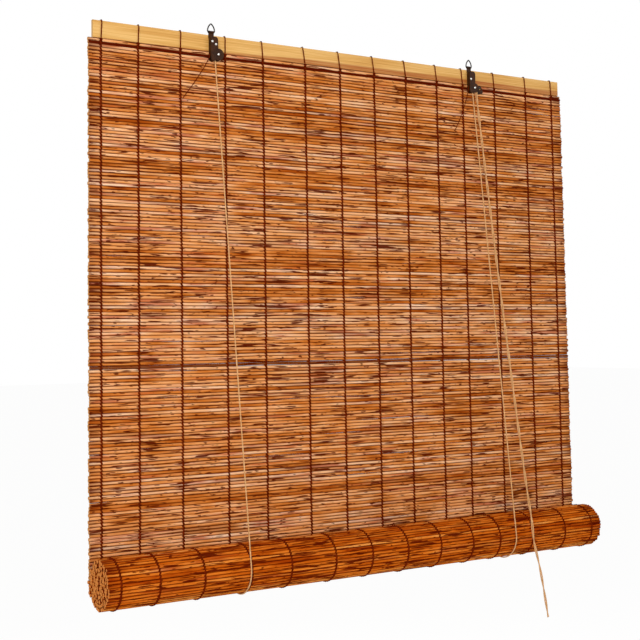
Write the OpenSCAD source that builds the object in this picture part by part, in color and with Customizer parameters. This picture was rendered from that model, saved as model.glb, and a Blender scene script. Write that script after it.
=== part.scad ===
// Roll-up blind of bamboo reeds. A wooden batten hangs from two wire rings, and
// a mat of reeds tied with dark strings hangs from the batten. The lower part of
// the mat is rolled up towards the viewer and lies in two cord loops. The left
// fitting holds a pulley wheel and the right one a cord lock.
// X runs along the width, the viewer stands at -Y and Z is up. The origin lies
// midway between the hanger rings, at the height where the hooks bear.

/* [Width] */
// distance between the two hanger rings
hanger_span = 552; // [500:1:600]
// mat beyond the left ring
left_overhang = 214; // [200:1:250]
// mat beyond the right ring
right_overhang = 234; // [200:1:260]

/* [Reed mat] */
// from the top of the batten down to the middle of the roll
drop = 866; // [780:1:950]
// mean diameter of a reed in the mat
reed_d = 5.6; // [5.5:0.05:5.8]
// how much a reed may be thicker or thinner than the mean
reed_spread = 0.2; // [0:0.05:0.25]
// reeds in the hanging part stand this far apart at most
reed_pitch = 5.2; // [5.1:0.05:5.25]
// how far a reed's cut end may miss the mat's edge
reed_ragged = 2.5; // [0:0.5:4]
// open slits between neighbouring reeds
gap_count = 108; // [10:1:118]
// height of a slit
gap_h = 1; // [0.6:0.1:1.2]

/* [Roll] */
// outer diameter of the rolled part
roll_d = 80; // [76:1:84]
// diameter of a reed in the roll
roll_reed_d = 5.5; // [5.4:0.05:5.7]
// distance from one turn of the roll to the next
turn_pitch = 6.2; // [6:0.1:7]
// half turns in the roll
half_turns = 10; // [6:1:10]

/* [Batten] */
// height of the batten
batten_h = 28; // [26:1:32]
// thickness of the batten
batten_t = 6; // [5.8:0.1:7]
// the mat sticks out past each end of the batten
batten_inset = 5; // [0:1:10]
// the batten's top lies this far under the hooks
hook_drop = 18; // [17:0.5:22]
// rounding of the batten's long edges
batten_round = 1.2; // [0.5:0.1:2]

/* [Strings] */
// diameter of the strings that tie the reeds
string_d = 1.6; // [1.2:0.1:1.8]

/* [Fittings] */
// thickness of the sheet that the casings are folded from
sheet_t = 0.8; // [0.7:0.1:1]
// room between the two cheeks of a casing
cheek_room = 7; // [6.9:0.1:8]
// folded left edge of a casing, left of its ring
case_left = 4.5; // [4:0.1:6]
// width of the neck that carries the ring
neck_w = 10; // [8:0.5:10]
// right edge of a casing's upper part, right of its ring
case_right = 8.8; // [8.6:0.1:10]
// wire of the hanger rings
ring_wire = 2.2; // [1.8:0.1:2.4]
// outer width of a hanger ring
ring_w = 15; // [14.5:0.5:18]
// height of a hanger ring, from its bar to the hook
ring_h = 13; // [12:0.5:14]
// flange diameter of the wheels
wheel_d = 13; // [12.6:0.2:13.4]
// groove diameter of the wheels
groove_d = 7; // [6.4:0.2:7.4]
// diameter of the axles and of the lock pin
axle_d = 3; // [2.4:0.1:3.2]
// diameter of the bright rivet heads
head_d = 4.6; // [4:0.2:5]
// diameter of the lock roller over its knurls
roller_d = 7; // [6.6:0.2:7.4]
// travel of the lock roller in its slots
roller_travel = 4; // [2:0.5:5]

/* [Cords] */
// diameter of a lift cord
cord_d = 2.4; // [2:0.1:2.5]
// diameter of the pull cord, two lift cords side by side
pull_d = 4.8; // [4:0.1:5]
// diameter of the stopper knots inside the casings
knot_d = 5.6; // [5:0.1:5.8]

/* [Hidden] */

// room between pieces that move against each other, and between pieces at rest
running_gap = 0.3;
seat_gap = 0.05;
// room around an axle in its wheel, and around a cord in its hole
axle_gap = 0.08;
hole_gap = 1;
// the hanging part ends this far above the roll's loose lip
lip_gap = 0.6;
// size of the cutters' overshoot
cut = 1;
seed = 7;

// The mat lies in the plane Y = 0.
ring_x = hanger_span / 2;
mat_left = -ring_x - left_overhang;
mat_right = ring_x + right_overhang;
batten_top = -hook_drop;
batten_low = batten_top - batten_h;
roll_z = batten_top - drop;
roll_r = roll_d / 2;
turn_r = roll_r - roll_reed_d / 2;
roll_y = -turn_r;
reed_room = (reed_d + reed_spread) / 2;
mat_top = batten_low - seat_gap - reed_room;
mat_h = mat_top - roll_z - lip_gap - reed_room;
reed_count = ceil(mat_h / reed_pitch) + 1;
mat_pitch = mat_h / (reed_count - 1);

// Strings: three outside each fitting and eight between the fittings.
string_start = 26;
string_stop = 16;
string_left = [0.915, 0.617, 0.266];
string_mid = [0, 0.143, 0.31, 0.453, 0.598, 0.737, 0.878, 1];
string_right = [0.265, 0.607, 0.897];
string_x = concat(
  [for (u = string_left) -ring_x - left_overhang * u],
  [for (u = string_mid) -ring_x + string_start + u * (hanger_span - string_start - string_stop)],
  [for (u = string_right) ring_x + right_overhang * u]);
string_count = len(string_x);
string_r = string_d / 2;
string_y = batten_t / 2 + string_r + seat_gap;

// The upper half turns are centred half a turn's pitch in front of the lower ones.
upper_y = roll_y - turn_pitch / 2;
upper_r = turn_r - turn_pitch / 2 + roll_reed_d / 2;
nip_y = -string_y - string_r - running_gap;
nip_h = sqrt(pow(upper_r, 2) - pow(nip_y - upper_y, 2)) + 2;
nip_angle = 26;

// Casings: Y of their sheets, counted from the batten's front towards the viewer.
case_back = -batten_t / 2 - seat_gap;
case_inner = case_back - sheet_t;
case_outer = case_inner - cheek_room;
case_face = case_outer - sheet_t;
case_mid = (case_inner + case_outer) / 2;
case_top = batten_top - 4;
case_low = batten_low - 10;
shoulder_r = 5;
lobe_r = 10;
guide_lobe_r = 8.5;
roller_lobe_r = 5;
toe_r = 5;
toe_z = batten_low - 12;
ear = [22.5, batten_low - 13];
ear_r = 4;
bar_z = -ring_h;
eye_bore = ring_wire + 2 * running_gap;
eye_d = eye_bore + 2 * sheet_t;
eye_y = case_back - sheet_t / 2;

// Places of wheels, nails and cord holes in a fitting, measured from its ring and
// from the batten's edges.
pulley_out = 9.6;
pulley_drop = 5.2;
guide_out = 7.8;
guide_drop = 6.5;
first_nail_drop = 12.2;
first_nail_out = -1.6;
next_nail_drop = 16.6;
next_nail_out = 5;
lock_nail_drop = 18.6;
pulley_at = [pulley_out, batten_low - pulley_drop];
guide_at = [guide_out, batten_low - guide_drop];
nails_at = [[first_nail_out, batten_top - first_nail_drop],
  [next_nail_out, batten_top - next_nail_drop]];
lock_nail_at = [first_nail_out, batten_top - lock_nail_drop];
nail_d = 2.4;
nail_depth = 3;
anchor_left = [1.2, batten_low + 6];
anchor_right = [0.3, batten_low + 3];
cross_left = [6, batten_low + 5.5];
cross_right = [5, batten_low + 5.5];
wheel_r = wheel_d / 2;
cord_r = cord_d / 2;
pull_r = pull_d / 2;
wrap_r = groove_d / 2 + running_gap + cord_r;
wheel_w = cheek_room - 2 * running_gap;

// Lock: the roller stands right of the guide wheel and jams the cords against it. Its
// slots fall to the right.
pull_x = guide_at[0] + wrap_r + pull_r - cord_r;
roller_at = guide_at + [wheel_r + running_gap + roller_d / 2, 0];
slot_angle = -45;
knurls = 18;
knurl_d = 0.7;

// Cord routes. A loop's arc runs under the roll. The front strand leaves it at the
// tangent that points to its wheel, and the back strand goes straight up.
loop_r = roll_r + running_gap + 2 * seat_gap + cord_r;
lean_r = roll_r + string_d + 2 * seat_gap + running_gap + pull_r;
back_y = roll_y + loop_r;
loop_in = 23;
loop_out = 20;
lean_out = 57.4;
pull_bow = 3.5;
pull_steps = 10;
loop_left = -ring_x + loop_in;
loop_right = ring_x + loop_out;
lean_x = ring_x + lean_out;
loop_step = 15;
loop_start = 0.6;
wheel_step = 22.5;
left_lane = case_mid;
right_lane = case_mid - cord_r - running_gap / 2;
cross_lane = case_mid + cord_r + running_gap / 2;
cross_y = string_y + string_r + seat_gap + cord_r;
merge_z = guide_at[1] - wheel_d / 2;
lock_exit = [ring_x + pull_x, case_mid, toe_z - toe_r];
left_top = on_wheel(-1, pulley_at, left_lane, 180);
right_top = on_wheel(1, guide_at, right_lane, 180);
left_low = lean_angle(left_top, loop_r);
right_low = lean_angle(right_top, loop_r);
pull_low = lean_angle(lock_exit, lean_r);

// The left cord comes out of the batten and touches the guide wheel at this angle.
cross_way = cross_right - guide_at;
cross_on = atan2(cross_way[1], cross_way[0]) - acos(wrap_r / norm(cross_way));

// The pull cord's loose tail, in X and Z from where the cord leaves the roll.
tail_points = [[0, 0], [1.4, -10], [4.2, -22], [8, -36], [12, -51], [16, -68], [20, -88],
  [23.7, -108], [27.4, -129], [31, -150]];

// Loose ends of the strings that tie the casings, in X, Y and Z from the ring.
tie_left_points = [[-5.4, -9, -50], [-6, -8.6, -55], [-8, -7.8, -61], [-12, -6.8, -69],
  [-18, -6.4, -79], [-26, -6.2, -91], [-35, -6.2, -104], [-45, -6.2, -117], [-54, -6.2, -129]];
tie_right_points = [[-5.4, -9, -50], [-6, -8.6, -56], [-8, -8, -65], [-11, -7.2, -76],
  [-15, -6.6, -88], [-20, -6.4, -100], [-26, -6.3, -113], [-33, -6.2, -126], [-39, -6.2, -137]];

function unit(v) = v / norm(v);
function across(t, v) = unit(v - (v * t) * t);
function along(p, i) = unit(p[min(i + 1, len(p) - 1)] - p[max(i - 1, 0)]);
function around(p, i) = unit(p[(i + 1) % len(p)] - p[(i + len(p) - 1) % len(p)]);

// Sideways directions along a path, each one carried on from the one before.
function carried(p, ref) =
  [for (i = 0, u = across(along(p, 0), ref); i < len(p);
    i = i + 1, u = across(along(p, min(i, len(p) - 1)), u)) u];
function disc(c, t, u, r, sides) =
  [for (k = [0 : sides - 1]) c + r * (cos(360 * k / sides) * u + sin(360 * k / sides) * cross(t, u))];

// Angle on a circle of radius r around the roll where a straight line from a point
// in front and above touches it.
function lean_angle(from, r) =
  let (d = [from[1] - roll_y, from[2] - roll_z])
  atan2(d[1], d[0]) + acos(r / norm(d));
function on_roll(x, r, a) = [x, roll_y + r * cos(a), roll_z + r * sin(a)];
function on_wheel(side, at, y, a) =
  [side * ring_x + at[0] + wrap_r * cos(a), y, at[1] + wrap_r * sin(a)];
function at_hole(side, at, y, z = 0) = [side * ring_x + at[0], y, at[1] + z];

// A tube along a path of points. ref is any direction across the path's start.
module tube(path, d, ref, sides = 8) {
  n = len(path);
  side = carried(path, ref);
  polyhedron(
    points = [for (i = [0 : n - 1]) each disc(path[i], along(path, i), side[i], d / 2, sides)],
    faces = concat(
      [[for (k = [0 : sides - 1]) k]],
      [for (i = [0 : n - 2], k = [0 : sides - 1]) let (m = (k + 1) % sides)
        [i * sides + k, (i + 1) * sides + k, (i + 1) * sides + m, i * sides + m]],
      [[for (k = [sides - 1 : -1 : 0]) (n - 1) * sides + k]]));
}

// A closed loop of wire along a flat path of points. up is the path's normal.
module wire_loop(path, d, up, sides = 12) {
  n = len(path);
  polyhedron(
    points = [for (i = [0 : n - 1]) each disc(path[i], around(path, i), up, d / 2, sides)],
    faces = [for (i = [0 : n - 1], k = [0 : sides - 1])
      let (m = (k + 1) % sides, next = (i + 1) % n)
      [i * sides + k, next * sides + k, next * sides + m, i * sides + m]]);
}

// A flat sheet with its outline in X and Z, from y towards the viewer.
module sheet(y, t) {
  translate([0, y, 0])
    rotate([90, 0, 0])
      linear_extrude(t)
        children();
}

// A round bar along Y, from y towards the viewer.
module bar(at, y, d, h) {
  translate([at[0], y, at[1]])
    rotate([90, 0, 0])
      cylinder(d = d, h = h, $fn = 32);
}

module at_fitting(side) {
  translate([side * ring_x, 0, 0])
    children();
}

module rounded_section(w, h, r) {
  square([w - 2 * r, h], center = true);
  square([w, h - 2 * r], center = true);
  for (i = [-1, 1], j = [-1, 1])
    translate([i * (w / 2 - r), j * (h / 2 - r)])
      circle(r = r, $fn = 32);
}

// The batten is a bamboo slat with holes for the lift cords' ends, the cross cord
// and the nails.
module batten() {
  color("BurlyWood")
    difference() {
      translate([mat_left + batten_inset, 0, (batten_top + batten_low) / 2])
        rotate([90, 0, 90])
          linear_extrude(mat_right - mat_left - 2 * batten_inset)
            rounded_section(batten_t, batten_h, batten_round);
      at_fitting(-1) {
        cord_hole(anchor_left);
        cord_hole(cross_left);
        for (at = nails_at)
          bar(at, batten_t, nail_d + 2 * seat_gap, 2 * batten_t);
      }
      at_fitting(1) {
        cord_hole(anchor_right);
        cord_hole(cross_right);
        bar(lock_nail_at, batten_t, nail_d + 2 * seat_gap, 2 * batten_t);
      }
    }
}

module cord_hole(at) {
  bar(at, batten_t, cord_d + hole_gap, 2 * batten_t + cheek_room / 2);
}

// The hanging part of the mat: reeds that bulge into each other as ridges of one
// wall, with ragged ends and open slits between them.
module reed_mat() {
  thick = rands(-reed_spread, reed_spread, reed_count, seed);
  left = rands(-reed_ragged, reed_ragged, reed_count, seed + 1);
  right = rands(-reed_ragged, reed_ragged, reed_count, seed + 2);
  color("Peru")
    difference() {
      for (i = [0 : reed_count - 1])
        translate([mat_left - left[i], 0, mat_top - i * mat_pitch])
          rotate([0, 90, 0])
            cylinder(d = reed_d + thick[i], h = mat_right - mat_left + left[i] + right[i], $fn = 24);
      mat_gaps();
    }
}

// Each slit lies in one bay between two strings.
module mat_gaps() {
  bay = rands(0, string_count - 1.01, gap_count, seed + 3);
  share = rands(0.4, 0.75, gap_count, seed + 4);
  shift = rands(0.1, 0.9, gap_count, seed + 5);
  for (i = [0 : gap_count - 1]) {
    b = floor(bay[i]);
    room = string_x[b + 1] - string_x[b];
    w = room * share[i];
    row = floor(i * (reed_count - 1) / gap_count) + 0.5;
    translate([string_x[b] + (room - w) * shift[i], -reed_d, mat_top - row * mat_pitch - gap_h / 2])
      cube([w, 2 * reed_d, gap_h]);
  }
}

// The rolled part is one solid: reeds along a spiral of half turns, which starts
// behind, at the end of the hanging part, and runs under the roll to the front.
module reed_roll() {
  color("Sienna")
    translate([mat_left, 0, 0])
      rotate([90, 0, 90])
        linear_extrude(mat_right - mat_left)
          for (k = [0 : half_turns - 1]) {
            r = turn_r - k * turn_pitch / 2;
            reeds = ceil(PI * r / (roll_reed_d - 0.4));
            upper = k % 2;
            for (j = [0 : reeds - 1]) {
              translate([upper == 1 ? upper_y : roll_y, roll_z])
                rotate(180 * (upper - (j + 0.5) / reeds))
                  translate([r, 0])
                    circle(d = roll_reed_d, $fn = 24);
            }
          }
}

// A string of the mat runs down its front, over the batten's top and down its back.
module mat_string(i) {
  color("#3b1d12")
    translate([string_x[i], 0, 0]) {
      translate([0, -string_y, roll_z + nip_h])
        cylinder(d = string_d, h = batten_top - roll_z - nip_h + seat_gap, $fn = 16);
      translate([0, string_y, roll_z + running_gap + seat_gap])
        cylinder(d = string_d, h = batten_top - roll_z - running_gap, $fn = 16);
      translate([0, 0, batten_top + seat_gap])
        rotate([90, 0, 90])
          rotate_extrude(angle = 180, $fn = 48)
            translate([string_y, 0])
              circle(d = string_d, $fn = 16);
    }
}

// A string of the roll follows the outer turn, and ends in the nip behind the roll.
module roll_string(i) {
  off = roll_reed_d / 2 + string_r + seat_gap;
  color("#3b1d12")
    translate([string_x[i], 0, roll_z])
      rotate([90, 0, 90]) {
        translate([roll_y, 0])
          rotate(180)
            rotate_extrude(angle = 180, $fn = 96)
              translate([turn_r + off, 0])
                circle(d = string_d, $fn = 16);
        translate([upper_y, 0])
          rotate(nip_angle)
            rotate_extrude(angle = 180 - nip_angle, $fn = 96)
              translate([turn_r - turn_pitch / 2 + off, 0])
                circle(d = string_d, $fn = 16);
      }
}

// The wire ring is a pointed arch on a straight bar that turns in the casing's eye.
module hanger_ring(side) {
  leg = (ring_w - ring_wire) / 2;
  top = ring_wire / 2;
  half = [[0, bar_z], [leg - 1.6, bar_z], [leg - 0.6, bar_z + 0.4], [leg, bar_z + 1.4],
    [leg, bar_z + 3.2], [leg - 0.4, bar_z + 5.4], [leg - 1.1, bar_z + 7.6], [leg - 2.2, -3.2],
    [leg - 3.8, -1.2], [1.2, 0.3]];
  path = concat(
    [for (p = half) [p[0], p[1]]],
    [[0, top]],
    [for (k = [len(half) - 1 : -1 : 1]) [-half[k][0], half[k][1]]]);
  color("DimGray")
    translate([side * ring_x, eye_y, 0])
      wire_loop([for (p = path) [p[0], 0, p[1]]], ring_wire, [0, 1, 0]);
}

// The rolled eye, the neck and the back cheek are one strip of sheet. It folds
// round the left edge into the front cheek.
module folded_case() {
  fold_x = -case_left;
  difference() {
    union() {
      sheet(case_back, sheet_t) {
        children();
        translate([-neck_w / 2, case_top - cut])
          square([neck_w, bar_z - eye_bore / 2 - case_top + cut]);
      }
      sheet(case_outer, sheet_t)
        children();
      translate([fold_x, case_face, toe_z])
        cube([sheet_t, case_back - case_face, case_top - toe_z]);
      translate([-neck_w / 2, eye_y, bar_z])
        rotate([0, 90, 0])
          cylinder(d = eye_d, h = neck_w, $fn = 32);
    }
    translate([-neck_w, eye_y, bar_z])
      rotate([0, 90, 0])
        cylinder(d = eye_bore, h = 2 * neck_w, $fn = 32);
  }
}

// Cheek of a casing: straight fold on the left, round shoulder on the right and a
// toe below. The lobe around the lower axle is added to it.
module cheek() {
  translate([-case_left, toe_z])
    square([case_left + case_right - shoulder_r, case_top - toe_z]);
  translate([-case_left, case_low])
    square([case_left + case_right, case_top - shoulder_r - case_low]);
  translate([case_right - shoulder_r, case_top - shoulder_r])
    circle(r = shoulder_r, $fn = 48);
  translate([toe_r - case_left, toe_z])
    circle(r = toe_r, $fn = 48);
}

module pulley_case() {
  color("#4a3a2c")
    at_fitting(-1)
      difference() {
        folded_case() {
          cheek();
          translate(pulley_at)
            circle(r = lobe_r, $fn = 64);
        }
        bar(pulley_at, 0, axle_d + 2 * seat_gap, 2 * cheek_room);
        for (at = nails_at)
          bar(at, 0, nail_d + 2 * seat_gap, 2 * cheek_room);
        cord_hole(anchor_left);
        cord_hole(cross_left);
      }
}

module lock_case() {
  color("#4a3a2c")
    at_fitting(1)
      difference() {
        folded_case() {
          cheek();
          translate(guide_at)
            circle(r = guide_lobe_r, $fn = 64);
          hull() {
            translate(roller_at)
              circle(r = roller_lobe_r, $fn = 48);
            translate(ear)
              circle(r = ear_r, $fn = 48);
          }
        }
        bar(guide_at, 0, axle_d + 2 * seat_gap, 2 * cheek_room);
        sheet(0, 2 * cheek_room)
          roller_slot();
        bar(lock_nail_at, 0, nail_d + 2 * seat_gap, 2 * cheek_room);
        cord_hole(anchor_right);
        cord_hole(cross_right);
      }
}

// Slot for the lock pin, falling to the right from where the roller grips.
module roller_slot() {
  w = axle_d + 2 * running_gap;
  translate(roller_at)
    rotate(slot_angle) {
      circle(d = w, $fn = 32);
      translate([0, -w / 2])
        square([roller_travel, w]);
      translate([roller_travel, 0])
        circle(d = w, $fn = 32);
    }
}

// Domed rivet head in front of a casing's face.
module dome(at, y) {
  head_h = 1.6;
  dome_r = (pow(head_d / 2, 2) + pow(head_h, 2)) / (2 * head_h);
  translate([at[0], y, at[1]])
    rotate([90, 0, 0])
      rotate_extrude($fn = 48)
        intersection() {
          translate([0, head_h - dome_r])
            circle(r = dome_r, $fn = 96);
          square([head_d, head_h]);
        }
}

// Nails go through both cheeks of a casing into the batten.
module nail(at) {
  dome(at, case_face - seat_gap);
  bar(at, case_back + nail_depth, nail_d, nail_depth + case_back - case_face + seat_gap);
}

module case_nails() {
  color("Silver") {
    at_fitting(-1)
      for (at = nails_at)
        nail(at);
    at_fitting(1)
      nail(lock_nail_at);
  }
}

module axle(at) {
  dome(at, case_face - seat_gap);
  bar(at, case_back, axle_d, case_back - case_face + seat_gap);
}

module pulley_axle() {
  color("Silver")
    at_fitting(-1)
      axle(pulley_at);
}

module guide_axle() {
  color("Silver")
    at_fitting(1)
      axle(guide_at);
}

// Grooved wheel on an axle along Y. The groove is wide enough for two cords.
module wheel(at) {
  flange_w = max(running_gap, (wheel_w - 2 * cord_d - 3 * running_gap) / 2);
  r = wheel_d / 2;
  g = groove_d / 2;
  bore = axle_d / 2 + axle_gap;
  translate([at[0], case_mid + wheel_w / 2, at[1]])
    rotate([90, 0, 0])
      rotate_extrude($fn = 64)
        polygon([[bore, 0], [r, 0], [r, flange_w / 2], [g, flange_w], [g, wheel_w - flange_w],
          [r, wheel_w - flange_w / 2], [r, wheel_w], [bore, wheel_w]]);
}

module pulley_wheel() {
  color("Goldenrod")
    at_fitting(-1)
      wheel(pulley_at);
}

module guide_wheel() {
  color("Goldenrod")
    at_fitting(1)
      wheel(guide_at);
}

module lock_roller() {
  color("Goldenrod")
    at_fitting(1)
      sheet(case_mid + wheel_w / 2, wheel_w)
        translate(roller_at)
          difference() {
            circle(d = roller_d, $fn = 48);
            circle(d = axle_d + 2 * seat_gap, $fn = 32);
            for (k = [1 : knurls])
              rotate(360 * k / knurls)
                translate([roller_d / 2, 0])
                  circle(d = knurl_d, $fn = 16);
          }
}

module lock_pin() {
  color("DimGray")
    at_fitting(1) {
      dome(roller_at, case_face - running_gap);
      bar(roller_at, case_back, axle_d, case_back - case_face + running_gap);
    }
}

// A front strand is taut between its wheel and the loop under the roll.
module front_strand(top, x, low) {
  color("Tan")
    tube([top - [0, 0, 2 * running_gap], on_roll(x, loop_r, low)], cord_d, [0, 1, 0]);
}

module lift_cord_front_left() {
  front_strand(left_top, loop_left, left_low);
}

module lift_cord_front_right() {
  front_strand(right_top, loop_right, right_low);
}

// A back strand rises behind the mat and goes through the batten to its knot.
module back_strand(side, x, at) {
  color("Tan")
    tube([[x, back_y, roll_z + running_gap + 2 * seat_gap],
      at_hole(side, at, back_y, -2.2),
      at_hole(side, at, back_y - 0.5, -0.6),
      at_hole(side, at, back_y - 1.6, 0),
      at_hole(side, at, case_inner, 0)], cord_d, [1, 0, 0]);
}

module lift_cord_back_left() {
  back_strand(-1, loop_left, anchor_left);
}

module lift_cord_back_right() {
  back_strand(1, loop_right, anchor_right);
}

// The loop in which the roll lies.
module cord_loop(x, low) {
  color("Tan")
    tube(concat([on_roll(x, loop_r, low + loop_start)],
      [for (a = [180 : loop_step : 360]) on_roll(x, loop_r, a)]), cord_d, [1, 0, 0]);
}

module cord_loop_left() {
  cord_loop(loop_left, left_low);
}

module cord_loop_right() {
  cord_loop(loop_right, right_low);
}

// A stopper knot bears on the inside of a casing's back cheek.
module cord_knot(side, at) {
  color("Tan")
    translate(at_hole(side, at, case_inner - seat_gap - knot_d / 2))
      sphere(d = knot_d, $fn = 32);
}

module cord_knot_left() {
  cord_knot(-1, anchor_left);
}

module cord_knot_right() {
  cord_knot(1, anchor_right);
}

// The left lift cord goes on over the pulley, through the batten, along its back to
// the lock, and over the guide wheel.
module cross_cord() {
  bend = 3;
  on = on_wheel(1, guide_at, cross_lane, cross_on);
  way = unit(on - at_hole(1, cross_right, cross_lane));
  color("Tan")
    tube(concat(
      [for (a = [180 : -10 : 160]) on_wheel(-1, pulley_at, left_lane, a)],
      [at_hole(-1, cross_left, left_lane, -bend - 1),
        at_hole(-1, cross_left, left_lane + 0.8, -1.2),
        at_hole(-1, cross_left, left_lane + bend, 0),
        at_hole(-1, cross_left, cross_y - bend, 0),
        at_hole(-1, cross_left, cross_y - 0.8, 0) + [0.8, 0, 0],
        at_hole(-1, cross_left, cross_y, 0) + [bend, 0, 0],
        at_hole(1, cross_right, cross_y, 0) - [bend, 0, 0],
        at_hole(1, cross_right, cross_y - 0.8, 0) - [0.8, 0, 0],
        at_hole(1, cross_right, cross_y - bend, 0),
        at_hole(1, cross_right, cross_lane + bend, 0),
        at_hole(1, cross_right, cross_lane + 0.8, 0) + 0.8 * way,
        at_hole(1, cross_right, cross_lane, 0) + bend * way],
      [for (k = [2 : -1 : 0]) on_wheel(1, guide_at, cross_lane, cross_on * k / 2)],
      [[on_wheel(1, guide_at, cross_lane, 0)[0], cross_lane, merge_z]]),
      cord_d, [0, 1, 0]);
}

// The right lift cord goes on over the guide wheel. Under the wheel the two cords
// run side by side through the lock.
module lock_cord() {
  color("Tan") {
    tube(concat(
      [for (a = [180 : -wheel_step : 0]) on_wheel(1, guide_at, right_lane, a)],
      [[on_wheel(1, guide_at, right_lane, 0)[0], right_lane, merge_z]]),
      cord_d, [0, 1, 0]);
    tube([[lock_exit[0], case_mid, merge_z - seat_gap], lock_exit], pull_d, [0, 1, 0]);
  }
}

// The pull cord hangs from the lock, a little bowed, and leans on the front of the roll.
module pull_cord() {
  top = lock_exit - [0, 0, running_gap];
  low = on_roll(lean_x, lean_r, pull_low);
  color("Tan")
    tube([for (k = [0 : pull_steps]) let (t = k / pull_steps)
      top + t * (low - top) - [4 * pull_bow * t * (1 - t), 0, 0]], pull_d, [0, 1, 0]);
}

module pull_cord_tail() {
  start = on_roll(lean_x, lean_r, 180);
  color("Tan")
    tube(concat([on_roll(lean_x, lean_r, pull_low + loop_start)],
      [for (p = tail_points) start + [p[0], 0, p[1]]]), pull_d, [0, 1, 0]);
}

// Loose end of the string that ties a casing to the batten.
module tie_string(side, points) {
  color("#3b1d12")
    at_fitting(side)
      tube(points, string_d, [0, 1, 0]);
}

module tie_string_left() {
  tie_string(-1, tie_left_points);
}

module tie_string_right() {
  tie_string(1, tie_right_points);
}

function numbered(name, i) = str(name, i < 9 ? "_0" : "_", i + 1);

batten();
reed_mat();
reed_roll();
for (i = [0 : string_count - 1]) {
  mat_string(i);
  roll_string(i);
}
hanger_ring(-1);  // hanger_ring_left
hanger_ring(1);  // hanger_ring_right
pulley_case();
lock_case();
case_nails();
pulley_wheel();
pulley_axle();
guide_wheel();
guide_axle();
lock_roller();
lock_pin();
lift_cord_front_left();
lift_cord_front_right();
lift_cord_back_left();
lift_cord_back_right();
cord_loop_left();
cord_loop_right();
cord_knot_left();
cord_knot_right();
cross_cord();
lock_cord();
pull_cord();
pull_cord_tail();
tie_string_left();
tie_string_right();
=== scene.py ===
# %% [markdown]
# # A bamboo roll-up blind
# A mat of thin bamboo reeds hangs from a flat batten, and its lower part lies rolled up in two
# cord loops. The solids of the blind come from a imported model, in metres, and they stay where
# they are. This lesson gives them their looks: single reeds, twined strings, twisted cords, and
# the finishes of wood, cotton and metal.

# %% Load the solids
import math

import bpy
import numpy as np
from mathutils import Matrix, Vector


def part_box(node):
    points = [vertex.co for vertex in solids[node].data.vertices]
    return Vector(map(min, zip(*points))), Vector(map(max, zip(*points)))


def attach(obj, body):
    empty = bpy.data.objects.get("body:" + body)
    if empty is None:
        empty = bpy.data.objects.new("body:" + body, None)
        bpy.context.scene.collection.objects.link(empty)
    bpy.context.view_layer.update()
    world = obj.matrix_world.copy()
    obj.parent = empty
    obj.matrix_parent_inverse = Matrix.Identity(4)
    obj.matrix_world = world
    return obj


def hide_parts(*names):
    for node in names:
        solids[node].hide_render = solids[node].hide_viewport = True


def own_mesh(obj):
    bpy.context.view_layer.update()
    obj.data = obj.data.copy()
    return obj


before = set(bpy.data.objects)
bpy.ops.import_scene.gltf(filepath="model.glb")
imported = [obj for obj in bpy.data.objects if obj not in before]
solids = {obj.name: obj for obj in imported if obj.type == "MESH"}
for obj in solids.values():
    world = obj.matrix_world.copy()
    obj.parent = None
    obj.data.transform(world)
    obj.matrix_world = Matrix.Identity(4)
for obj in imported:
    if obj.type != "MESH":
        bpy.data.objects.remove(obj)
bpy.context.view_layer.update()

MM = 0.001

# %% [markdown]
# ## Camera
# The photograph was taken from the left, a little below the middle of the mat, with the picture
# plane shifted so that upright lines stay upright. A shift lens does the same here. The place and
# the angles were found by fitting the corners of the batten, the mat and the roll.

# %% Camera
IMAGE_PX = 640
FOCAL_PX = 1199.4
AXIS_PX = (291.2, 249.9)
CAMERA_AT = Vector((-1.1928, -1.7400, -0.5245))
YAW, PITCH, ROLL = (math.radians(a) for a in (31.572, 4.290, -0.806))

ahead = Vector((math.sin(YAW) * math.cos(PITCH), math.cos(YAW) * math.cos(PITCH), math.sin(PITCH)))
level = Vector((math.cos(YAW), -math.sin(YAW), 0))
upright = level.cross(ahead)
right = level * math.cos(ROLL) + upright * math.sin(ROLL)
up = upright * math.cos(ROLL) - level * math.sin(ROLL)

camera = bpy.data.objects.new("camera", bpy.data.cameras.new("camera"))
bpy.context.scene.collection.objects.link(camera)
camera.matrix_world = Matrix.Translation(CAMERA_AT) @ Matrix((right, up, -ahead)).transposed().to_4x4()
camera.data.lens = camera.data.sensor_width * FOCAL_PX / IMAGE_PX
camera.data.shift_x = 0.5 - AXIS_PX[0] / IMAGE_PX
camera.data.shift_y = AXIS_PX[1] / IMAGE_PX - 0.5
bpy.context.scene.camera = camera
print("lens:", round(camera.data.lens, 2), "mm")

# %% [markdown]
# ## Helpers for nodes
# Colours are written as the hex values that a screen shows, and Blender works with linear light,
# so one function turns one into the other. A second one adds a node, sets it up, and fills or
# links its inputs, which keeps every material and every geometry tree short. The last two start a
# material and link what was made to its shader.


# %% Node helpers
def linear(colour):
    """Linear RGBA of a colour such as #c08040."""
    shown = [int(colour[i:i + 2], 16) / 255 for i in (1, 3, 5)]
    return [c / 12.92 if c < 0.04045 else ((c + 0.055) / 1.055) ** 2.4 for c in shown] + [1.0]


FAMILIES = ("ShaderNode", "GeometryNode", "FunctionNode", "Node")


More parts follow.
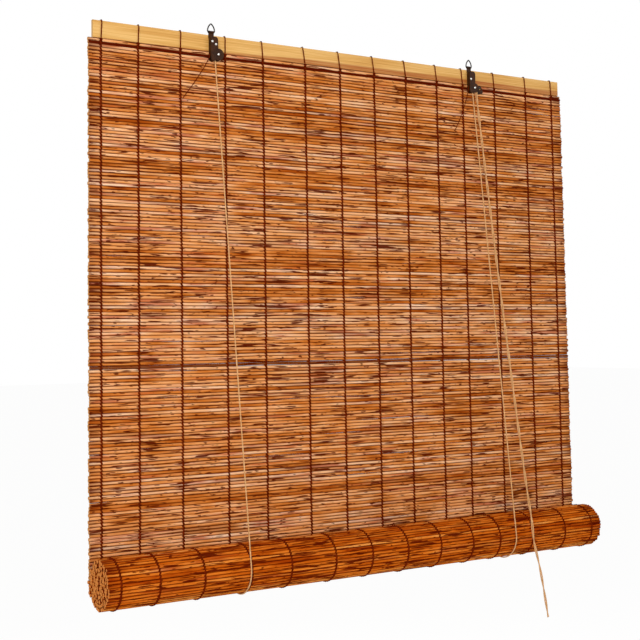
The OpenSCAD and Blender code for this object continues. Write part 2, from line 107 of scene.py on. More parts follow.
def add(tree, kind, inputs=None, **settings):
    """Adds a node such as Math.MULTIPLY, where the second word is its operation or data type.

    A hex text is a colour, and a socket is linked. Returns the only live output, or all of them by name.
    """
    kind, _, choice = kind.partition(".")
    node = tree.nodes.new(next(family + kind for family in FAMILIES if hasattr(bpy.types, family + kind)))
    if choice:
        setattr(node, "operation" if hasattr(node, "operation") else "data_type", choice)
    for key, value in settings.items():
        if key == "stops":
            ramp = node.color_ramp.elements
            while len(ramp) < len(value):
                ramp.new(1.0)
            for stop, (place, colour) in zip(ramp, value):
                stop.position, stop.color = place, linear(colour)
        else:
            setattr(node, key, value)
    live = [s for s in node.inputs if s.enabled]
    for key, value in (inputs or {}).items():
        socket = live[key] if isinstance(key, int) else next(s for s in live if s.name == key)
        if isinstance(value, bpy.types.NodeSocket):
            tree.links.new(value, socket)
        else:
            socket.default_value = linear(value) if isinstance(value, str) and value[:1] == "#" else value
    outputs = {s.name: s for s in node.outputs if s.enabled}
    return next(iter(outputs.values())) if len(outputs) == 1 else outputs


def new_finish(name, **constants):
    """A material, its tree and its shader, with the shader's constant inputs set."""
    material = bpy.data.materials.new(name)
    material.use_nodes = True
    shader = material.node_tree.nodes["Principled BSDF"]
    for key, value in constants.items():
        shader.inputs[key.replace("_", " ")].default_value = value
    return material, material.node_tree, shader


def plug(tree, shader, **ends):
    """Links the last sockets of a finish to its shader."""
    for key, socket in ends.items():
        tree.links.new(socket, shader.inputs[key.replace("_", " ")])


print("white is", linear("#ffffff"))

# %% [markdown]
# ## Studio
# The blind hangs at window height in a white room. Big soft lamps stand in for the sky, so a
# colour renders about as it is written. The white behind it comes from the world and the floor as
# the camera and shiny metal see them, and adds no light to the blind.

# %% Studio
FLOOR_Z = -2.0
FLOOR_HALF = 40.0
AMBIENT = 0.36
FLOOR_WHITE = 0.8
FLOOR_GLOW = 1.14

world = bpy.data.worlds.new("white_room")
bpy.context.scene.world = world
world.use_nodes = True
tree = world.node_tree
tree.nodes.clear()
ray = add(tree, "LightPath")
seen = add(tree, "Math.MAXIMUM", {0: ray["Is Camera Ray"], 1: ray["Is Glossy Ray"]})
seen = add(tree, "Math.MAXIMUM", {0: seen, 1: ray["Is Transmission Ray"]})
glow = add(tree, "Background", {"Color": "#ffffff", "Strength": AMBIENT})
white = add(tree, "Background", {"Color": "#ffffff", "Strength": 1.0})
mixed = add(tree, "MixShader", {0: seen, 1: glow, 2: white})
add(tree, "OutputWorld", {"Surface": mixed})

paper = bpy.data.materials.new("white_paper_floor")
paper.use_nodes = True
tree = paper.node_tree
tree.nodes.clear()
ray = add(tree, "LightPath")
share = add(tree, "Math.MULTIPLY", {0: ray["Is Camera Ray"], 1: FLOOR_WHITE})
matt = add(tree, "BsdfDiffuse", {"Color": "#f4f3f0"})
bright = add(tree, "Emission", {"Color": "#ffffff", "Strength": FLOOR_GLOW})
mixed = add(tree, "MixShader", {0: share, 1: matt, 2: bright})
add(tree, "OutputMaterial", {"Surface": mixed})

mesh = bpy.data.meshes.new("floor")
corners = [(x * FLOOR_HALF, y * FLOOR_HALF, FLOOR_Z) for x, y in ((-1, -1), (1, -1), (1, 1), (-1, 1))]
mesh.from_pydata(corners, [], [(0, 1, 2, 3)])
mesh.materials.append(paper)
floor = bpy.data.objects.new("floor", mesh)
bpy.context.scene.collection.objects.link(floor)

LAMPS = {  # place in metres, width in metres, watts
    "key_softbox": ((-1.8, -2.4, 0.2), 1.6, 54),
    "fill_softbox": ((1.8, -2.6, 0.6), 2.0, 18),
    "back_softbox": ((0.6, 2.6, 1.2), 2.0, 34),
}
LIT_POINT = Vector((0, 0, -0.45))
for name, (place, width, watts) in LAMPS.items():
    lamp = bpy.data.objects.new(name, bpy.data.lights.new(name, "AREA"))
    bpy.context.scene.collection.objects.link(lamp)
    lamp.location = place
    lamp.rotation_euler = (LIT_POINT - Vector(place)).to_track_quat("-Z", "Y").to_euler()
    lamp.data.shape = "DISK"
    lamp.data.size = width
    lamp.data.energy = watts

bpy.context.scene.view_settings.view_transform = "Standard"
print("lamps:", list(LAMPS))

# %% [markdown]
# ## Cord and string finishes
# The lift cords are cotton, spun and laid from three plies, and only lightly dyed, so they are the
# palest thing on the mat. The strings that tie the reeds are the same yarn dyed a dark red-brown.
# Both are matt. On the pale cords a little sheen stands for loose fibres. Fibres run along the
# plies, so the pattern follows the cord's own UV map, in metres along it and in shares around it.

# %% Cord and string finishes
FIBRE_LEN = 1.6 * MM     # a fibre shows for this long before it dives into the ply
FIBRES_AROUND = 22.0
DYE_PATCH = 14 * MM      # dye takes unevenly over about this length


def cotton_finish(name, pale, dark, sheen):
    material, tree, shader = new_finish(name, Roughness=0.85, Specular_IOR_Level=0.0,
                                        Sheen_Weight=sheen, Sheen_Roughness=0.5)
    place = add(tree, "TexCoord")["UV"]
    fibre_at = add(tree, "Mapping", {"Vector": place, "Scale": (1 / FIBRE_LEN, FIBRES_AROUND, 1)})
    patch_at = add(tree, "Mapping", {"Vector": place, "Scale": (1 / DYE_PATCH, 1, 1)})
    fibre = add(tree, "TexNoise", {"Vector": fibre_at, "Scale": 1.0, "Detail": 2.0})["Fac"]
    patch = add(tree, "TexNoise", {"Vector": patch_at, "Scale": 1.0, "Detail": 1.0})["Fac"]
    both = add(tree, "Math.MULTIPLY_ADD", {0: patch, 1: 0.8, 2: fibre})
    tone = add(tree, "MapRange", {"Value": both, "From Min": 0.6, "From Max": 1.15})
    colour = add(tree, "Mix.RGBA", {"Factor": tone, "A": dark, "B": pale})
    bump = add(tree, "Bump", {"Strength": 0.5, "Distance": 0.15 * MM, "Height": fibre})
    plug(tree, shader, Base_Color=colour, Normal=bump)
    return material


tan_cord = cotton_finish("cotton_cord_tan", "#f6c48c", "#cc9054", 0.1)
dark_twine = cotton_finish("cotton_twine_dark", "#7e2606", "#4c1202", 0.0)
print("finishes:", tan_cord.name, dark_twine.name)

# %% [markdown]
# ## Laying a cord
# A laid cord is three plies that turn round each other once in every lay. Here the section is a
# ring with a groove between the plies, and it turns as it is swept along the line, so its edges
# follow the plies. A curve with a bevel would give a plain round tube, without the plies.

# %% Laying a cord
RINGS_PER_LAY = 8
GROOVE = 0.74            # depth of the groove between two plies, as a share of the radius
SECTION = {2: (1.0, 0.96, GROOVE, 0.96), 3: (1.0, 1.0, GROOVE)}  # radii of one ply's share


def smooth_line(points, step):
    """Points every step or so along one smooth curve through the given ones."""
    p = np.array(points, float)
    gap = np.linalg.norm(np.diff(p, axis=0), axis=1)[:, None]
    slope = np.diff(p, axis=0) / gap
    inner = (slope[:-1] * gap[1:] + slope[1:] * gap[:-1]) / (gap[:-1] + gap[1:])
    slope = np.vstack([slope[:1], inner, slope[-1:]])
    t = np.linspace(0, 1, 24, endpoint=False)[:, None]
    curve = [p[i] * (2 * t**3 - 3 * t**2 + 1) + p[i + 1] * (3 * t**2 - 2 * t**3)
             + gap[i] * (slope[i] * (t**3 - 2 * t**2 + t) + slope[i + 1] * (t**3 - t**2))
             for i in range(len(gap))]
    curve = np.vstack(curve + [p[-1:]])
    run = np.concatenate([[0], np.cumsum(np.linalg.norm(np.diff(curve, axis=0), axis=1))])
    at = np.linspace(0, run[-1], max(2, round(run[-1] / step) + 1))
    return np.column_stack([np.interp(at, run, curve[:, k]) for k in range(3)])


def carried_frames(line):
    """Direction and two sideways directions at each point, carried along without twist."""
    ahead = np.gradient(line, axis=0)
    ahead /= np.linalg.norm(ahead, axis=1)[:, None]
    side = np.empty_like(line)
    first = np.cross(ahead[0], (0.31, 0.52, 0.11))
    for i, direction in enumerate(ahead):
        first = first - direction * (first @ direction)
        first /= np.linalg.norm(first)
        side[i] = first
    return ahead, side, np.cross(ahead, side)


def laid_mesh(line, diameter, plies, lay):
    """Vertices, faces and UVs of one laid cord along a line."""
    section = np.array(SECTION[plies] * plies) * diameter / 2
    sides, count = len(section), len(line)
    ahead, side, over = carried_frames(line)
    run = np.concatenate([[0], np.cumsum(np.linalg.norm(np.diff(line, axis=0), axis=1))])
    angle = 2 * math.pi * (run[:, None] / lay + np.arange(sides)[None, :] / sides)
    ring = np.cos(angle)[..., None] * side[:, None] + np.sin(angle)[..., None] * over[:, None]
    points = (line[:, None] + ring * section[None, :, None]).reshape(-1, 3)
    faces, uvs = [], []
    for i in range(count - 1):
        for k in range(sides):
            m = (k + 1) % sides
            faces.append((i * sides + k, i * sides + m, (i + 1) * sides + m, (i + 1) * sides + k))
            uvs += [(run[i], k / sides), (run[i], (k + 1) / sides),
                    (run[i + 1], (k + 1) / sides), (run[i + 1], k / sides)]
    for end, turn in ((0, -1), (count - 1, 1)):
        faces.append([end * sides + k for k in range(sides)][::turn])
        uvs += [(run[end], 0.5)] * sides
    return points, faces, uvs


def cord_piece(name, lines, diameter, plies, lay, material):
    """One object with a laid cord along each line."""
    points, faces, uvs = [], [], []
    for line in lines:
        start = sum(len(p) for p in points)
        some, sides, places = laid_mesh(line, diameter, plies, lay)
        points.append(some)
        faces += [[v + start for v in face] for face in sides]
        uvs += places
    mesh = bpy.data.meshes.new(name)
    mesh.from_pydata(np.vstack(points).tolist(), [], faces)
    layer = mesh.uv_layers.new(name="UVMap")
    layer.data.foreach_set("uv", np.array(uvs, np.float32).ravel())
    mesh.polygons.foreach_set("use_smooth", [len(f) == 4 for f in faces])
    mesh.materials.append(material)
    piece = bpy.data.objects.new(name, mesh)
    bpy.context.scene.collection.objects.link(piece)
    return piece


print("rings per lay:", RINGS_PER_LAY)

# %% [markdown]
# ## Pull cord and string ends
# The cords that hang free come first. The pull cord is both lift cords together. It leaves the
# lock, leans on the roll and ends in a bare cut end. The part above the roll rides the headrail,
# and its tail goes with the loops. Two short dark string ends hang under the fittings, left
# over from tying the casings on. All their points repeat the routes of the solids.

# %% Pull cord and string ends
RING_X = 276 * MM
ROLL_R = 40 * MM
TURN_R = 37.25 * MM
roll_low, roll_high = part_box("reed_roll")
roll_y = -TURN_R
roll_z = roll_low.z + ROLL_R
CORD_D, PULL_D, STRING_D = 2.4 * MM, 4.8 * MM, 1.6 * MM
CORD_LAY = 8 * MM
TAN = (CORD_D, 3, CORD_LAY, tan_cord)   # what every lift cord is laid from
STRING_LAY = 5 * MM
PAIR_LAY = 90 * MM       # the two cords of the pull cord turn round each other this slowly
LOOP_R = 41.6 * MM
LEAN_R = 44.4 * MM
LEAN_X = 333.4 * MM
PULL_BOW = 3.5 * MM
LOCK_EXIT = np.array((290.0, -7.35, -63.3)) * MM
RISE = 18 * MM           # this much of each cord above the roll goes up with it and stays clear of it
TAIL = [(1.4, -10), (4.2, -22), (8, -36), (12, -51), (16, -68), (20, -88), (23.7, -108), (27.4, -129),
        (31, -150)]
TIE_ENDS = {
    "left": [(-5.4, -9, -50), (-6, -8.6, -55), (-8, -7.8, -61), (-12, -6.8, -69), (-18, -6.4, -79),
             (-26, -6.2, -91), (-35, -6.2, -104), (-45, -6.2, -117), (-54, -6.2, -129)],
    "right": [(-5.4, -9, -50), (-6, -8.6, -56), (-8, -8, -65), (-11, -7.2, -76), (-15, -6.6, -88),
              (-20, -6.4, -100), (-26, -6.3, -113), (-33, -6.2, -126), (-39, -6.2, -137)],
}


def on_roll(x, radius, angle):
    return np.array((x, roll_y + radius * math.cos(angle), roll_z + radius * math.sin(angle)))


def lean_angle(start, radius):
    """Where a straight line from start touches a circle round the roll."""
    dy, dz = start[1] - roll_y, start[2] - roll_z
    return math.atan2(dz, dy) + math.acos(radius / math.hypot(dy, dz))


def pair_lines(line):
    """Two lines that turn slowly round a middle one, each one cord radius away."""
    ahead, side, over = carried_frames(line)
    run = np.linspace(0, 1, len(line)) * np.linalg.norm(np.diff(line, axis=0), axis=1).sum()
    turn = (2 * math.pi * run / PAIR_LAY)[:, None]
    out = (np.cos(turn) * side + np.sin(turn) * over) * CORD_D / 2
    return [line + out, line - out]


def length_of(line):
    return float(np.linalg.norm(np.diff(line, axis=0), axis=1).sum())


def settle(piece, body, slot, *nodes):
    """Lets a piece ride a body in place of its solids. The slot is not used."""
    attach(piece, body)
    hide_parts(*nodes)


def shorten(piece):
    """Gives a piece a mesh of its own."""
    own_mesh(piece)


cord_step = CORD_LAY / RINGS_PER_LAY
lean_at = lean_angle(LOCK_EXIT, LEAN_R)
lean_end = on_roll(LEAN_X, LEAN_R, lean_at)
bowed = [LOCK_EXIT + t * (lean_end - LOCK_EXIT) - (4 * PULL_BOW * t * (1 - t), 0, 0)
         for t in np.linspace(0, 1, 11)]
tail_top = on_roll(LEAN_X, LEAN_R, math.pi)
hanging = [tail_top] + [tail_top + np.array((x, 0, z)) * MM for x, z in TAIL]
whole_line = smooth_line(bowed + hanging, cord_step)
pair = pair_lines(whole_line)
cut = int(np.argmin(np.abs(whole_line[:, 2] - lean_end[2] - RISE)))

pull_cord = cord_piece("pull_cord_pair", [line[:cut + 1] for line in pair], *TAN)
settle(pull_cord, "headrail", "cord", "pull_cord")
shorten(pull_cord)

tail = cord_piece("pull_cord_end", [line[cut:] for line in pair], *TAN)
settle(tail, "cord_loops", "cord", "pull_cord_tail")

for side, points in TIE_ENDS.items():
    ring_x = RING_X if side == "right" else -RING_X
    line = smooth_line([np.array((x, y, z)) * MM + (ring_x, 0, 0) for x, y, z in points], STRING_LAY / 8)
    tie = cord_piece("tie_end_" + side, [line], STRING_D, 2, STRING_LAY, dark_twine)
    settle(tie, "headrail", "string", "tie_string_" + side)
    print("string end", side, round(length_of(line), 3), "m")

# %% [markdown]
# ## Lift cords
# Each lift cord is tied off inside its fitting, goes down behind the mat, under the roll and up in
# front to its wheel. The front and back strands ride the headrail, while the loop goes with
# the roll. The left cord crosses behind the batten to the lock. The stopper knots are overhand
# knots, drawn with the formula of a trefoil.

# %% Lift cords
WRAP_R = 5 * MM          # from a wheel's axle to the middle of its cord
STRAND_GAP = 0.6 * MM
CASE_DROP = 8 * MM       # this much of a strand below its wheel stays in the casing
LANES = {"left": -7.35, "cross": -6.0, "right": -8.7}
WHEELS = {"left": (-266.4, LANES["left"], -51.2), "right": (283.8, LANES["right"], -52.5)}
LOOP_X = {"left": -253 * MM, "right": 296 * MM}
ANCHOR = {"left": (-274.8, -40.0), "right": (276.3, -43.0)}
BACK_Y = 4.35 * MM
INNER_Y = -3.85 * MM
KNOT_R = 2.8 * MM
TURN_IN = 2.2 * MM       # a back strand bends in to its hole over this height


def overhand_knot(centre, radius, thickness):
    """A closed line of a trefoil that fills a ball of the given radius."""
    t = np.linspace(0, 2 * math.pi, 60)[:, None]
    trefoil = np.hstack([np.sin(t) + 2 * np.sin(2 * t), np.sin(3 * t), np.cos(t) - 2 * np.cos(2 * t)])
    return trefoil * (radius - thickness / 2) / 3 + centre


held_top = {}
for side in ("left", "right"):
    wheel = np.array(WHEELS[side]) * MM
    top = wheel - (WRAP_R, 0, STRAND_GAP)
    low = lean_angle(top, LOOP_R)
    touch = on_roll(LOOP_X[side], LOOP_R, low)
    down = (touch - top) / np.linalg.norm(touch - top)
    held_top[side] = list(np.linspace(top + CASE_DROP * down, top, 4))
    front = smooth_line([held_top[side][0], touch - RISE * down], cord_step)
    strand = cord_piece("lift_strand_front_" + side, [front], *TAN)
    settle(strand, "headrail", "cord", "lift_cord_front_" + side)
    shorten(strand)

    arc = list(np.linspace(front[-1], touch, 5)[:-1])
    arc += [on_roll(LOOP_X[side], LOOP_R, a) for a in np.linspace(low, 2 * math.pi, 32)]
    loop = cord_piece("lift_loop_" + side, [smooth_line(arc, cord_step)], *TAN)
    settle(loop, "cord_loops", "cord", "cord_loop_" + side)

    x, z = (v * MM for v in ANCHOR[side])
    bottom = (LOOP_X[side], BACK_Y, roll_z + 0.4 * MM)
    back = smooth_line([bottom, (x, BACK_Y, z - TURN_IN)], cord_step)
    strand = cord_piece("lift_strand_back_" + side, [back], *TAN)
    settle(strand, "headrail", "cord", "lift_cord_back_" + side)
    shorten(strand)

    knot_line = overhand_knot((x, INNER_Y - KNOT_R, z), KNOT_R, CORD_D)
    through = smooth_line([(x, BACK_Y, z - TURN_IN), (x, BACK_Y - 0.5 * MM, z - 0.6 * MM),
                           (x, BACK_Y - 1.6 * MM, z), (x, INNER_Y, z)], cord_step)
    knot = cord_piece("stopper_knot_" + side, [knot_line, through], *TAN)
    settle(knot, "headrail", "cord", "cord_knot_" + side)
print("front strand", round(length_of(front), 3), "m, loop", round(length_of(np.array(arc)), 3), "m")

# %% Cord behind the batten and cords in the lock
CROSS_Y = 5.9 * MM
CROSS_X, CROSS_Z = (-270.0, 281.0), -40.5   # the two holes in the batten, in mm
CROSS_ON = 37            # degrees round the guide wheel where the left cord first touches it
MERGE_Z = -59 * MM


def on_wheel(side, lane, angle):
    x, z = WHEELS[side][0] * MM, WHEELS[side][2] * MM
    turn = math.radians(angle)
    return np.array((x + WRAP_R * math.cos(turn), LANES[lane] * MM, z + WRAP_R * math.sin(turn)))


guide_x = WHEELS["right"][0]
hole_left, hole_right = (np.array((x, 0, CROSS_Z)) * MM for x in CROSS_X)
bend = 3 * MM
cross_points = held_top["left"] + [on_wheel("left", "left", a) for a in (180, 170, 160)]
cross_points += [hole_left + (0, LANES["left"] * MM, -4 * MM),
                 hole_left + (0, (LANES["left"] + 0.8) * MM, -1.2 * MM),
                 hole_left + (0, LANES["left"] * MM + bend, 0), hole_left + (0, CROSS_Y - bend, 0),
                 hole_left + (0.8 * MM, CROSS_Y - 0.8 * MM, 0)]
cross_points += [hole_left + (share * bend, CROSS_Y, 0) for share in (1, 2, 4, 12)]
cross_points += [hole_right + (-share * bend, CROSS_Y, 0) for share in (12, 4, 2, 1)]
cross_points += [hole_right + (-0.8 * MM, CROSS_Y - 0.8 * MM, 0),
                 hole_right + (0, CROSS_Y - bend, 0), hole_right + (0, LANES["cross"] * MM + bend, 0)]
first_touch = on_wheel("right", "cross", CROSS_ON)
way = first_touch - hole_right - (0, LANES["cross"] * MM, 0)
cross_points.append(hole_right + (0, LANES["cross"] * MM, 0) + way * bend / np.linalg.norm(way))
cross_points += [on_wheel("right", "cross", a) for a in (CROSS_ON, CROSS_ON / 2, 0)]
cross_points.append((guide_x * MM + WRAP_R, LANES["cross"] * MM, MERGE_Z))
cross = cord_piece("lift_cord_crossing", [smooth_line(cross_points, cord_step)], *TAN)
settle(cross, "headrail", "cord", "cross_cord")

over_guide = held_top["right"] + [on_wheel("right", "right", a) for a in np.linspace(180, 0, 9)]
over_guide.append((guide_x * MM + WRAP_R, LANES["right"] * MM, MERGE_Z))
merged = smooth_line([(LOCK_EXIT[0], LOCK_EXIT[1], MERGE_Z), LOCK_EXIT], cord_step)
lock_lines = [smooth_line(over_guide, cord_step)] + pair_lines(merged)
lock_cords = cord_piece("lock_cords", lock_lines, *TAN)
settle(lock_cords, "headrail", "cord", "lock_cord")
print("cord behind the batten:", round(length_of(np.array(cross_points)), 3), "m")

# %% [markdown]
# ## Reed finish
# The reeds are thin natural bamboo, stained and left matt. Each one takes the stain
# differently, from pale tan to red-brown, and the tone drifts along it. Short dark streaks show
# where the skin was scraped or the stain ran, and painted shade darkens the grooves between reeds.
# The pattern uses the place along the reed, the place around it and the reed's own number, so
# neighbours never match. The fibres are drawn three times as coarse as real ones, to show at all.

# %% Reed finish
REED_PATTERNS = {  # length along the reed, changes around it, detail
    "tone": (90 * MM, 0.2, 3.0),
    "orange": (90 * MM, 0.35, 2.0),
    "streak": (46 * MM, 0.9, 2.0),
    "seam": (150 * MM, 0.2, 2.0),
    "speck": (13 * MM, 1.0, 1.0),
    "fibre": (22 * MM, 4.0, 2.0),
}
TINT_SHARE = 0.3         # how much a reed's own tint counts beside the drift of tone along it
FIBRE_SHARE = 0.3
DARKEST, PALEST = 0.53, 1.08   # sums of tone, tint and fibre at the ends of the colour ramp
CUT_FACING = 0.9         # a face that looks this much along X is a cut end
PITH_GRAIN = 1.2 * MM


def reed_finish(name, stops, orange, streak_colour, groove_shade_colour, cut_colour, streaks_from):
    material, tree, shader = new_finish(name, Specular_IOR_Level=0.0)
    place = add(tree, "TexCoord")
    x = add(tree, "SeparateXYZ", {"Vector": place["Object"]})["X"]
    ring = add(tree, "Attribute", attribute_name="ring")["Vector"]
    ring = add(tree, "SeparateXYZ", {"Vector": ring})
    told = {key: add(tree, "Attribute", attribute_name=key)["Fac"]
            for key in ("reed_id", "reed_tint", "groove", "stain")}
    seen = {}
    for key, (length, around, detail) in REED_PATTERNS.items():
        along = add(tree, "Math.DIVIDE", {0: x, 1: length})
        sides = [add(tree, "Math.MULTIPLY", {0: ring[axis], 1: around}) for axis in "XY"]
        at = add(tree, "CombineXYZ", {"X": along, "Y": sides[0], "Z": sides[1]})
        seen[key] = add(tree, "TexNoise",
                        {"Vector": at, "W": told["reed_id"], "Scale": 1.0, "Detail": detail},
                        noise_dimensions="4D")["Fac"]
    tone = add(tree, "Math.MULTIPLY_ADD", {0: told["reed_tint"], 1: TINT_SHARE, 2: seen["tone"]})
    tone = add(tree, "Math.MULTIPLY_ADD", {0: seen["fibre"], 1: FIBRE_SHARE, 2: tone})
    tone = add(tree, "MapRange", {"Value": tone, "From Min": DARKEST, "From Max": PALEST})
    colour = add(tree, "ValToRGB", {"Fac": tone}, stops=stops)["Color"]
    marks = [("orange", 0.54, 0.66, 0.8, orange),
             ("streak", streaks_from, streaks_from + 0.025, 0.96, streak_colour),
             ("speck", 0.655, 0.675, 0.9, streak_colour)]
    for key, start, full, most, shade in marks:
        mask = add(tree, "MapRange", {"Value": seen[key], "From Min": start, "From Max": full,
                                      "To Max": most})
        colour = add(tree, "Mix.RGBA", {"Factor": mask, "A": colour, "B": shade})
    # Painted shade: where a reed turns away from the front, towards the grooves between reeds, it darkens
    # to a dark red-brown, patchy along the reed.
    groove = add(tree, "Math.MULTIPLY_ADD", {0: seen["seam"], 1: 1.2, 2: told["groove"]})
    groove = add(tree, "MapRange", {"Value": groove, "From Min": 0.72, "From Max": 1.15, "To Max": 0.94})
    for mask, shade in ((told["stain"], streak_colour), (groove, groove_shade_colour)):
        colour = add(tree, "Mix.RGBA", {"Factor": mask, "A": colour, "B": shade})
    facing = add(tree, "SeparateXYZ", {"Vector": place["Normal"]})["X"]
    facing = add(tree, "Math.ABSOLUTE", {0: facing})
    cut = add(tree, "Math.GREATER_THAN", {0: facing, 1: CUT_FACING})
    speckled = add(tree, "TexNoise",
                   {"Vector": place["Object"], "Scale": 1 / PITH_GRAIN, "Detail": 1.0})["Fac"]
    speckled = add(tree, "MapRange", {"Value": speckled, "From Min": 0.28, "From Max": 0.5})
    pith = add(tree, "Mix.RGBA", {"Factor": speckled, "A": orange, "B": cut_colour})
    colour = add(tree, "Mix.RGBA", {"Factor": cut, "A": colour, "B": pith})
    bump = add(tree, "Bump", {"Strength": 0.35, "Distance": 0.3 * MM, "Height": seen["fibre"]})
    rough = add(tree, "MapRange", {"Value": seen["fibre"], "From Min": 0.3, "From Max": 0.7, "To Min": 0.4,
                                   "To Max": 0.6})
    plug(tree, shader, Base_Color=colour, Normal=bump, Roughness=rough)
    return material


# After the ramp come the orange, the streaks, the painted shade in the grooves and the cut ends.
mat_reed = reed_finish(
    "stained_bamboo_reed",
    [(0.0, "#a84c10"), (0.25, "#d2782e"), (0.5, "#ec9e5c"), (0.75, "#f8bc88"), (1.0, "#fed8b4")],
    "#c2560e", "#5a1402", "#641c02", "#e8aa62", 0.59)
roll_reed = reed_finish(
    "stained_bamboo_reed_rolled",
    [(0.0, "#a43c04"), (0.3, "#d06412"), (0.6, "#e8822a"), (0.85, "#f6a24c"), (1.0, "#fcba72")],
    "#b03e04", "#601402", "#6a1a02", "#f29c50", 0.555)
print("finishes:", mat_reed.name, roll_reed.name)

# %% [markdown]
# ## Reeds by Geometry Nodes
# The mat has far too many reeds to place by hand, and they all follow one rule: a slightly bowed,
# uneven stick in each row, cut by eye at both ends. Geometry Nodes make one on every point of a
# small mesh of rows. Each reed keeps its own number and tint as attributes for the finish. The
# same tree makes the mat and the roll, because only their rows differ.


# %% The tree for reeds
PLAIN_R, DARK_R = 0.5, 0.41    # radius of a plain and of a dark reed, as shares of the diameter


def new_tree(name, inputs):
    """An empty geometry tree with named inputs, and its group input's sockets by name."""
    tree = bpy.data.node_groups.new(name, "GeometryNodeTree")
    tree.interface.new_socket("Rows", in_out="INPUT", socket_type="NodeSocketGeometry")
    for key, kind in inputs.items():
        tree.interface.new_socket(key, in_out="INPUT", socket_type="NodeSocket" + kind)
    tree.interface.new_socket("Result", in_out="OUTPUT", socket_type="NodeSocketGeometry")
    return tree, add(tree, "GroupInput")


def finish_tree(tree, mesh, material):
    """Ends a tree in smooth, realized geometry with its material."""
    mesh = add(tree, "SetShadeSmooth", {"Geometry": mesh})
    mesh = add(tree, "RealizeInstances", {"Geometry": mesh})
    mesh = add(tree, "SetMaterial", {"Geometry": mesh, "Material": material})
    add(tree, "GroupOutput", {0: mesh})


def reed_tree():
    tree, given = new_tree("reeds_on_rows", {
        "Length": "Float", "Ragged": "Float", "Diameter": "Float", "Diameter spread": "Float",
        "Bow": "Float", "Bow length": "Float", "Segments": "Int", "Sides": "Int", "Seed": "Int",
        "Material": "Material"})
    index = add(tree, "InputIndex")
    drawn = {}
    for turn, key in enumerate(("id", "tint", "thick", "left", "right")):
        seed = add(tree, "Math.ADD", {0: given["Seed"], 1: float(turn)})
        drawn[key] = add(tree, "RandomValue", {"Min": 0.0, "Max": 1.0, "ID": index, "Seed": seed})
    number = add(tree, "Math.MULTIPLY", {0: drawn["id"], 1: 100.0})
    uneven = add(tree, "Math.MULTIPLY_ADD",
                 {0: drawn["thick"], 1: given["Diameter spread"], 2: given["Diameter"]})
    dark = add(tree, "InputNamedAttribute", {"Name": "stain"})["Attribute"]
    share = add(tree, "MapRange", {"Value": dark, "To Min": PLAIN_R, "To Max": DARK_R})
    radius = add(tree, "Math.MULTIPLY", {0: uneven, 1: share})
    rows = given["Rows"]
    for key, value in (("reed_id", number), ("reed_tint", drawn["tint"]), ("reed_r", radius)):
        rows = add(tree, "StoreNamedAttribute", {"Geometry": rows, "Name": key, "Value": value})
    over = {key: add(tree, "Math.MULTIPLY", {0: drawn[key], 1: given["Ragged"]})
            for key in ("left", "right")}
    back = add(tree, "Math.MULTIPLY", {0: over["left"], 1: -1.0})
    offset = add(tree, "CombineXYZ", {"X": back})
    rows = add(tree, "SetPosition", {"Geometry": rows, "Offset": offset})
    both = add(tree, "Math.ADD", {0: over["left"], 1: over["right"]})
    long = add(tree, "Math.ADD", {0: both, 1: given["Length"]})
    scale = add(tree, "CombineXYZ", {"X": long, "Y": 1.0, "Z": 1.0})
    stick = add(tree, "CurvePrimitiveLine", {"End": (1, 0, 0)})
    stick = add(tree, "ResampleCurve", {"Curve": stick, "Count": given["Segments"]})
    sticks = add(tree, "InstanceOnPoints", {"Points": rows, "Instance": stick, "Scale": scale})
    sticks = add(tree, "RealizeInstances", {"Geometry": sticks})

    kept = {key: add(tree, "InputNamedAttribute." + kind, {"Name": key})["Attribute"]
            for key, kind in (("reed_id", "FLOAT"), ("reed_r", "FLOAT"), ("out", "FLOAT_VECTOR"))}
    place = add(tree, "InputPosition")
    x = add(tree, "SeparateXYZ", {"Vector": place})["X"]
    along = add(tree, "Math.DIVIDE", {0: x, 1: given["Bow length"]})
    at = add(tree, "CombineXYZ", {"X": along, "Y": kept["reed_id"]})
    drift = add(tree, "TexNoise", {"Vector": at, "Scale": 1.0, "Detail": 1.0})
    centred = add(tree, "VectorMath.SUBTRACT", {0: drift["Color"], 1: (0.5, 0.5, 0.5)})
    bowed = add(tree, "VectorMath.SCALE", {"Vector": centred, "Scale": given["Bow"]})
    bowed = add(tree, "VectorMath.MULTIPLY", {0: bowed, 1: (0, 1, 1)})
    sticks = add(tree, "SetPosition", {"Geometry": sticks, "Offset": bowed})

    circle = add(tree, "CurvePrimitiveCircle", {"Resolution": given["Sides"], "Radius": 1.0})
    circle = add(tree, "StoreNamedAttribute.FLOAT_VECTOR",
                 {"Geometry": circle, "Name": "ring", "Value": place})
    swell = add(tree, "MapRange", {"Value": drift["Fac"], "To Min": 0.9, "To Max": 1.1})
    girth = add(tree, "Math.MULTIPLY", {0: kept["reed_r"], 1: swell})
    reeds = add(tree, "CurveToMesh",
                {"Curve": sticks, "Profile Curve": circle, "Scale": girth, "Fill Caps": True})
    # How far the surface turns away from the front, which the finish turns into painted shade in the
    # grooves between reeds.
    normal = add(tree, "InputNormal")["Normal"]
    front = add(tree, "VectorMath.DOT_PRODUCT", {0: normal, 1: kept["out"]})
    front = add(tree, "Math.ABSOLUTE", {0: front})
    groove = add(tree, "Math.SUBTRACT", {0: 1.0, 1: front})
    reeds = add(tree, "StoreNamedAttribute", {"Geometry": reeds, "Name": "groove", "Value": groove})
    finish_tree(tree, reeds, given["Material"])
    return tree


def rows_mesh(name, places, edges, told):
    """A mesh of bare points, with one attribute for each thing told about them."""
    mesh = bpy.data.meshes.new(name)
    mesh.from_pydata([tuple(p) for p in places], edges, [])
    for key, values in told.items():
        values = np.array(values, np.float32)
        kind, field = ("FLOAT_VECTOR", "vector") if values.ndim == 2 else ("FLOAT", "value")
        mesh.attributes.new(key, kind, "POINT").data.foreach_set(field, values.ravel())
    return mesh


